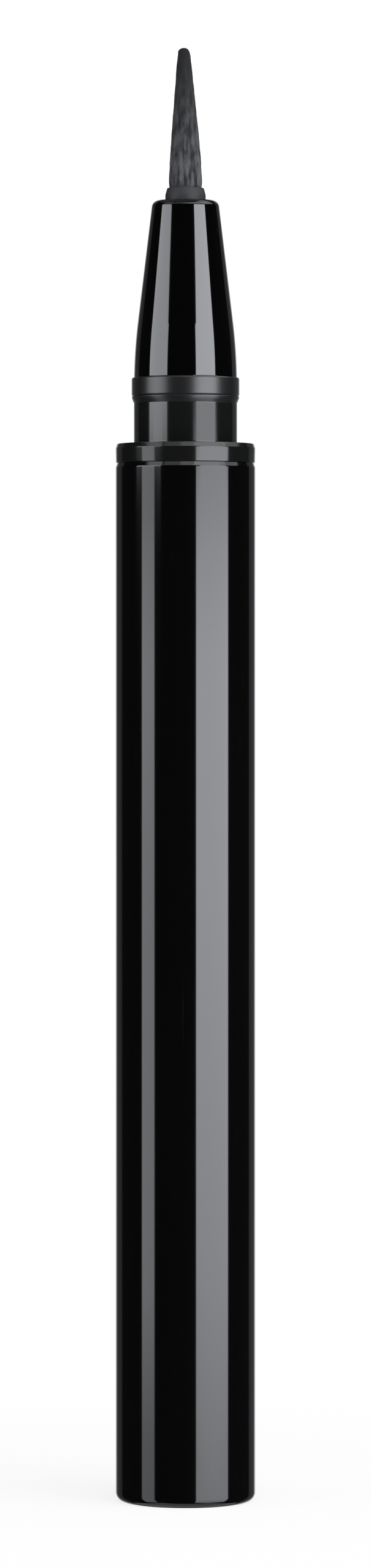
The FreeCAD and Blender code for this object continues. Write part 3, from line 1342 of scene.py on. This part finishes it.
@dataclass(frozen=True)
class StudioCamera:
    """The photograph's view: straight on from the front, looking down by under a degree.

    Attributes:
        distance: from the lens to the pen's axis.
        height: the lens above the floor.
        aim: the height on the axis that it looks at.
        view_height: how much of the axis the picture takes in.
        sensor_mm: the sensor's long side.
    """

    distance: float = 483.0 * MM
    height: float = 64.5 * MM
    aim: float = 56.6 * MM
    view_height: float = 123.7 * MM
    sensor_mm: float = 36.0

    def place(self) -> bpy.types.Object:
        """Adds the camera and makes it the scene's own."""
        data = bpy.data.cameras.new("studio_camera")
        data.sensor_width = self.sensor_mm
        data.lens = self.sensor_mm * self.distance / self.view_height
        camera = bpy.data.objects.new("studio_camera", data)
        pitch = math.atan2(self.height - self.aim, self.distance)
        camera.location = (0.0, -self.distance, self.height)
        camera.rotation_euler = (math.pi / 2 - pitch, 0.0, 0.0)
        bpy.context.scene.collection.objects.link(camera)
        bpy.context.scene.camera = camera
        return camera


def add_area_lamp(name: str, middle: Vector, toward: Vector, width: float, height: float,
                  radiance: float) -> bpy.types.Object:
    """Adds a rectangular lamp, unseen by the camera.

    Args:
        name: the lamp's name.
        middle: its place.
        toward: the direction that it faces.
        width: its level side.
        height: its other side.
        radiance: its brightness, where 1 is white.

    Returns:
        The lamp.
    """
    data = bpy.data.lights.new(name, "AREA")
    data.shape = "RECTANGLE"
    data.size = width
    data.size_y = height
    data.energy = radiance * math.pi * width * height
    lamp = bpy.data.objects.new(name, data)
    lamp.location = middle
    lamp.rotation_euler = toward.to_track_quat("-Z", "Y").to_euler()
    lamp.visible_camera = False
    bpy.context.scene.collection.objects.link(lamp)
    return lamp


@dataclass(frozen=True)
class StripLamp:
    """A tall softbox that faces the pen's axis.

    Attributes:
        name: the lamp's name.
        side: which way the azimuths run from the camera's direction.
        near_deg: the edge nearer to the camera, seen from the axis.
        far_deg: the edge further round.
        foot: its lower edge.
        top: its upper edge.
        radiance: its brightness, where 1 is white.
        heights: places up the lamp where its brightness is given.
        shares: the share of the brightness at each of those heights.
        flag_width: how far a slanted flag covers the nearer edge at the flag's top.
        flag_foot: the height where the flag starts to cover that edge.
        flag_top: the height from which it covers its whole width.
        soft: width over which each side edge fades.
        distance: from the axis.
    """

    name: str
    side: Side
    near_deg: float
    far_deg: float
    foot: float
    top: float
    radiance: float
    heights: tuple[float, ...] = ()
    shares: tuple[float, ...] = ()
    flag_width: float = 0.0
    flag_foot: float = 230.0 * MM
    flag_top: float = 250.0 * MM
    soft: float = 20.0 * MM
    distance: float = 450.0 * MM

    @property
    def middle(self) -> float:
        """Its azimuth, positive to the right."""
        return math.radians((self.near_deg + self.far_deg) / 2) * self.side.value

    @property
    def half_width(self) -> float:
        """Half its width, to the middle of each soft edge."""
        return self.distance * math.tan(math.radians((self.far_deg - self.near_deg) / 2))

    def place(self) -> bpy.types.Object:
        """Adds the lamp."""
        outward = Vector((math.sin(self.middle), -math.cos(self.middle), 0.0))
        middle = outward * self.distance + AXIS * (self.foot + self.top) / 2
        width = 2 * self.half_width + self.soft
        lamp = add_area_lamp(
            self.name, middle, -outward, width, self.top - self.foot, self.radiance
        )
        lamp.data.color = COOL_WHITE
        self._grade(lamp.data)
        return lamp

    def _grade(self, data: bpy.types.Light) -> None:
        """Fades the lamp's side edges, covers its flagged corner and grades it along its height."""
        data.use_nodes = True
        sketch = Sketch(data.node_tree)
        position = sketch.add("NewGeometry").outputs["Position"]
        height = sketch.add("SeparateXYZ", {"Vector": position}).outputs["Z"]
        across = Vector((math.cos(self.middle), math.sin(self.middle), 0.0)) * self.side.value
        place = sketch.dot(position, across)
        flag = sketch.ramp(height, self.flag_foot, self.flag_top, 0.0, self.flag_width, smooth=False)
        clear, edge = self.half_width - self.soft / 2, self.half_width + self.soft / 2
        near = sketch.ramp(sketch.math("SUBTRACT", place, flag), -edge, -clear)
        far = sketch.ramp(place, clear, edge, 1.0, 0.0)
        strength = sketch.math("MULTIPLY", near, far)
        if self.heights:
            strength = sketch.math("MULTIPLY", strength, self._height_share(sketch, height))
        sketch.tree.links.new(strength, data.node_tree.nodes["Emission"].inputs["Strength"])

    def _height_share(self, sketch: Sketch, height: bpy.types.NodeSocket) -> bpy.types.NodeSocket:
        """Reads the share of the brightness at a height off the lamp's list.

        Args:
            sketch: the lamp's tree.
            height: the height of the point that shines.

        Returns:
            The share there.
        """
        along = sketch.ramp(height, self.foot, self.top, smooth=False)
        curve = sketch.add("ValToRGB", {"Fac": along})
        elements = curve.color_ramp.elements
        for stop in elements[1:]:
            elements.remove(stop)
        for number, (place, share) in enumerate(zip(self.heights, self.shares)):
            where = (place - self.foot) / (self.top - self.foot)
            stop = elements[0] if number == 0 else elements.new(where)
            stop.position = where
            stop.color = (share, share, share, 1.0)
        return curve.outputs["Color"]


@dataclass(frozen=True)
class SkyBand:
    """A soft-edged light over the camera that only reflections show.

    Attributes:
        radiance: its brightness, where 1 is white.
        azimuth_deg: where its middle is, to the right of the camera.
        half_deg: how far it runs to each side.
        low_deg: the elevation of its lower edge.
        high_deg: the elevation of its upper edge.
        soft: half the width of its edges, as a part of the unit direction.
    """

    radiance: float
    azimuth_deg: float
    half_deg: float
    low_deg: float = 32.0
    high_deg: float = 47.0
    soft: float = 0.04

    def draw(self, sketch: Sketch, direction: bpy.types.NodeSocket) -> bpy.types.NodeSocket:
        """Adds the light to the world's tree.

        Args:
            sketch: the world's tree.
            direction: the direction that is looked in.

        Returns:
            The light's brightness in that direction.
        """
        azimuth = math.radians(self.azimuth_deg)
        middle = (math.sin(azimuth), -math.cos(azimuth), 0.0)
        low = math.sin(math.radians(self.low_deg))
        high = math.sin(math.radians(self.high_deg))
        level = math.cos(math.radians((self.low_deg + self.high_deg) / 2))
        side = math.cos(math.radians(self.half_deg)) * level
        height = sketch.add("SeparateXYZ", {"Vector": direction}).outputs["Z"]
        toward = sketch.dot(direction, middle)
        over = sketch.ramp(height, low - self.soft, low + self.soft)
        under = sketch.ramp(height, high - self.soft, high + self.soft, 1.0, 0.0)
        beside = sketch.ramp(toward, side - self.soft, side + self.soft, 0.0, self.radiance)
        return sketch.math("MULTIPLY", sketch.math("MULTIPLY", over, under), beside)


@dataclass(frozen=True)
class Panel:
    """A square lamp that faces the pen's tail.

    Attributes:
        name: the lamp's name.
        middle: its place.
        side: its width and height.
        radiance: its brightness, where 1 is white.
        mirrored: whether glossy surfaces show it.
    """

    name: str
    middle: tuple[float, float, float]
    side: float
    radiance: float
    mirrored: bool = True

    def place(self) -> bpy.types.Object:
        """Adds the lamp."""
        middle = Vector(self.middle)
        lamp = add_area_lamp(self.name, middle, -middle, self.side, self.side, self.radiance)
        lamp.visible_glossy = self.mirrored
        return lamp


@dataclass(frozen=True)
class Studio:
    """White surroundings, strip softboxes in front, and a pale floor.

    Attributes:
        ambient: brightness of the room for plain surfaces.
        room: brightness of the unlit room in reflections.
        backdrop_edge: where the white backdrop fades in, as a part of the way to straight behind.
        ceiling: brightness of the room overhead in reflections.
        ceiling_edge: where the ceiling fades in, as a part of the way to straight up.
        bands: the lights over the camera that sloping edges mirror.
        panels: the broad lamps overhead, beside and below.
        lamp_foot: the softboxes' lower end.
        lamp_seam: where the lower softboxes end and the upper ones start.
        lamp_top: the upper softboxes' end.
        rear_top: the end of those behind the pen.
        floor_radius: the floor's size.
        floor_sides: how many sides its outline has.
        floor_colour: the floor's own colour.
        floor_roughness: the floor's polish.
        shadow_radius: where the floor's shadow starts to fade into white.
        white_radius: where the floor is wholly white.
        white_share: how far the floor is white already where the fade starts.
    """

    ambient: float = 0.35
    room: float = 0.01
    backdrop_edge: tuple[float, float] = (0.99, 0.999)
    ceiling: float = 0.14
    ceiling_edge: tuple[float, float] = (0.5, 0.8)
    bands: tuple[SkyBand, ...] = (
        SkyBand(radiance=0.42, azimuth_deg=32.0, half_deg=72.0),
        SkyBand(radiance=0.85, azimuth_deg=40.0, half_deg=50.0),
        SkyBand(radiance=1.8, azimuth_deg=44.0, half_deg=27.0, soft=0.02),
        SkyBand(radiance=0.95, azimuth_deg=-64.5, half_deg=12.5, soft=0.012),
    )
    panels: tuple[Panel, ...] = (
        Panel("overhead_panel", (0.28, -0.53, 0.82), side=0.94, radiance=2.0, mirrored=False),
        Panel("side_panel", (0.66, 0.06, 0.75), side=0.7, radiance=0.75),
        Panel("floor_bounce", (0.0, 0.0, -0.3), side=0.5, radiance=0.35),
    )
    lamp_foot: float = -0.35
    lamp_seam: float = 0.101
    lamp_top: float = 0.3
    rear_top: float = 0.35
    floor_radius: float = 130.0 * MM
    floor_sides: int = 128
    floor_colour: Colour = (0.97, 0.97, 0.97)
    floor_roughness: float = 0.9
    shadow_radius: float = 6.0 * MM
    white_radius: float = 91.0 * MM
    white_share: float = 0.82

    def lamps(self) -> list[StripLamp]:
        """Lists every softbox."""
        return [*self._low_lamps(), *self._high_lamps(), *self._rear_lamps()]

    def _low_lamps(self) -> list[StripLamp]:
        """Lists the softboxes that the barrel and its collar mirror."""
        heights = (-0.35, -0.09, -0.06, -0.05, -0.027, 0.033, 0.068, 0.085, 0.09, 0.098)
        right = (0.35, 0.5, 0.53, 0.62, 0.78, 0.96, 1.0, 0.87, 0.78, 0.71)
        left = (0.4, 0.47, 0.46, 0.49, 0.82, 0.88, 1.0, 0.85, 0.72, 0.67)
        return [
            StripLamp(
                "right_strip", Side.RIGHT, near_deg=17.4, far_deg=74.4,
                foot=self.lamp_foot, top=self.lamp_seam, radiance=3.25, heights=heights, shares=right,
            ),
            StripLamp(
                "left_strip", Side.LEFT, near_deg=52.5, far_deg=76.5,
                foot=self.lamp_foot, top=self.lamp_seam, radiance=1.73, heights=heights, shares=left,
            ),
        ]

    def _high_lamps(self) -> list[StripLamp]:
        """Lists the softboxes that the neck, the seal and the cone mirror."""
        heights = (0.101, 0.114, 0.133, 0.258, 0.285)
        right = (0.49, 0.49, 1.0, 1.0, 0.2)
        left = (1.0, 1.0, 1.0, 1.0, 0.25)
        return [
            StripLamp(
                "right_upper_strip", Side.RIGHT, near_deg=23.5, far_deg=70.0,
                foot=self.lamp_seam, top=self.lamp_top, radiance=3.8, heights=heights, shares=right,
                flag_width=0.055,
            ),
            StripLamp(
                "left_upper_strip", Side.LEFT, near_deg=41.5, far_deg=88.0,
                foot=self.lamp_seam, top=self.lamp_top, radiance=2.5, heights=heights, shares=left,
                flag_width=0.1,
            ),
        ]

    def _rear_lamps(self) -> list[StripLamp]:
        """Lists the dim softboxes behind the pen, which draw its edges."""
        rows = (
            ("rear_right_strip", Side.RIGHT, 158.0, 173.0, 0.4),
            ("rear_left_strip", Side.LEFT, 158.0, 173.0, 0.35),
            ("right_edge_strip", Side.RIGHT, 130.0, 156.0, 0.07),
            ("left_edge_strip", Side.LEFT, 130.0, 156.0, 0.05),
        )
        return [
            StripLamp(name, side, near, far, self.lamp_foot, self.rear_top, radiance)
            for name, side, near, far, radiance in rows
        ]

    def light(self) -> None:
        """Adds the softboxes, the panels and the surroundings."""
        for lamp in (*self.lamps(), *self.panels):
            lamp.place()
        self._surroundings()

    def _surroundings(self) -> None:
        """Makes the world white to the camera and behind the pen, and dim elsewhere."""
        world = bpy.data.worlds.new("studio")
        world.use_nodes = True
        bpy.context.scene.world = world
        sketch = Sketch(world.node_tree)
        background = world.node_tree.nodes["Background"]
        direction = sketch.add("TexCoord").outputs["Generated"]
        parts = sketch.add("SeparateXYZ", {"Vector": direction})
        backdrop = sketch.ramp(parts.outputs["Y"], *self.backdrop_edge, self.room, 1.0)
        ceiling = sketch.ramp(parts.outputs["Z"], *self.ceiling_edge, 0.0, self.ceiling)
        mirror = sketch.math("MAXIMUM", backdrop, ceiling)
        for band in self.bands:
            mirror = sketch.math("MAXIMUM", mirror, band.draw(sketch, direction))
        rays = sketch.add("LightPath")
        mirrored = sketch.math(
            "MAXIMUM", rays.outputs["Is Glossy Ray"], rays.outputs["Is Transmission Ray"]
        )
        unseen = sketch.mix(mirrored, self.ambient, mirror)
        strength = sketch.mix(rays.outputs["Is Camera Ray"], unseen, 1.0)
        sketch.tree.links.new(strength, background.inputs["Strength"])
        background.inputs["Color"].default_value = WHITE

    def floor(self) -> bpy.types.Object:
        """Adds the pale floor, which fades to the white of the surroundings."""
        deselect_all()
        bpy.ops.mesh.primitive_circle_add(
            vertices=self.floor_sides, radius=self.floor_radius, fill_type="NGON"
        )
        floor = bpy.context.object
        floor.name = "studio_floor"
        material, sketch, surface = new_material("studio_floor")
        surface.inputs["Base Color"].default_value = rgba(self.floor_colour)
        surface.inputs["Roughness"].default_value = self.floor_roughness
        surface.inputs["Specular IOR Level"].default_value = 0.0
        place = sketch.add("TexCoord").outputs["Object"]
        reach = sketch.add("VectorMath", {0: place}, operation="LENGTH").outputs["Value"]
        fade = sketch.ramp(reach, self.shadow_radius, self.white_radius, self.white_share, 1.0)
        rays = sketch.add("LightPath")
        share = sketch.math("MULTIPLY", fade, rays.outputs["Is Camera Ray"])
        white = sketch.add("Emission", {"Color": WHITE, "Strength": 1.0})
        mix = sketch.add("MixShader", {0: share, 1: surface.outputs[0], 2: white.outputs[0]})
        output = sketch.tree.nodes["Material Output"]
        sketch.tree.links.new(mix.outputs[0], output.inputs["Surface"])
        floor.data.materials.append(material)
        floor.visible_glossy = False
        floor.visible_shadow = False
        return floor


def main() -> None:
    """Builds the pen's looks in order and reports each piece."""
    logging.basicConfig(level=logging.INFO, format="%(name)s: %(message)s")
    bpy.context.scene.view_settings.view_transform = "Standard"
    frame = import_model()
    StudioCamera().place()
    effects = SharedEffects()
    palette = Palette()
    nib = FeltNib()
    outer: list[tuple[TurnedPart, Finish]] = [
        (Barrel(), palette.barrel),
        (NeckSection(), palette.neck),
        (CapSeal(), palette.seal),
        (TipCone(), palette.cone),
        (NibSleeve(), palette.sleeve),
        (nib, nib.finish()),
    ]
    materials: dict[str, bpy.types.Material] = {}

    def finish_of(finish: Finish) -> bpy.types.Material:
        """Builds a finish's material once."""
        if finish.name not in materials:
            materials[finish.name] = finish.material(effects)
        return materials[finish.name]

    for part, finish in outer:
        piece = part.build()
        part.dress(piece, finish_of(finish))
        LOG.info("%s: %d faces", piece.name, len(piece.data.polygons))
    for node, finish in InnerWorks().finishes(palette).items():
        inner = frame["nodes"][node]
        inner.data.materials.clear()
        inner.data.materials.append(finish_of(finish))
        LOG.info("%s keeps its packed shape", node)
    studio = Studio()
    studio.light()
    studio.floor()
    deselect_all()


if __name__ == "__main__":
    main()
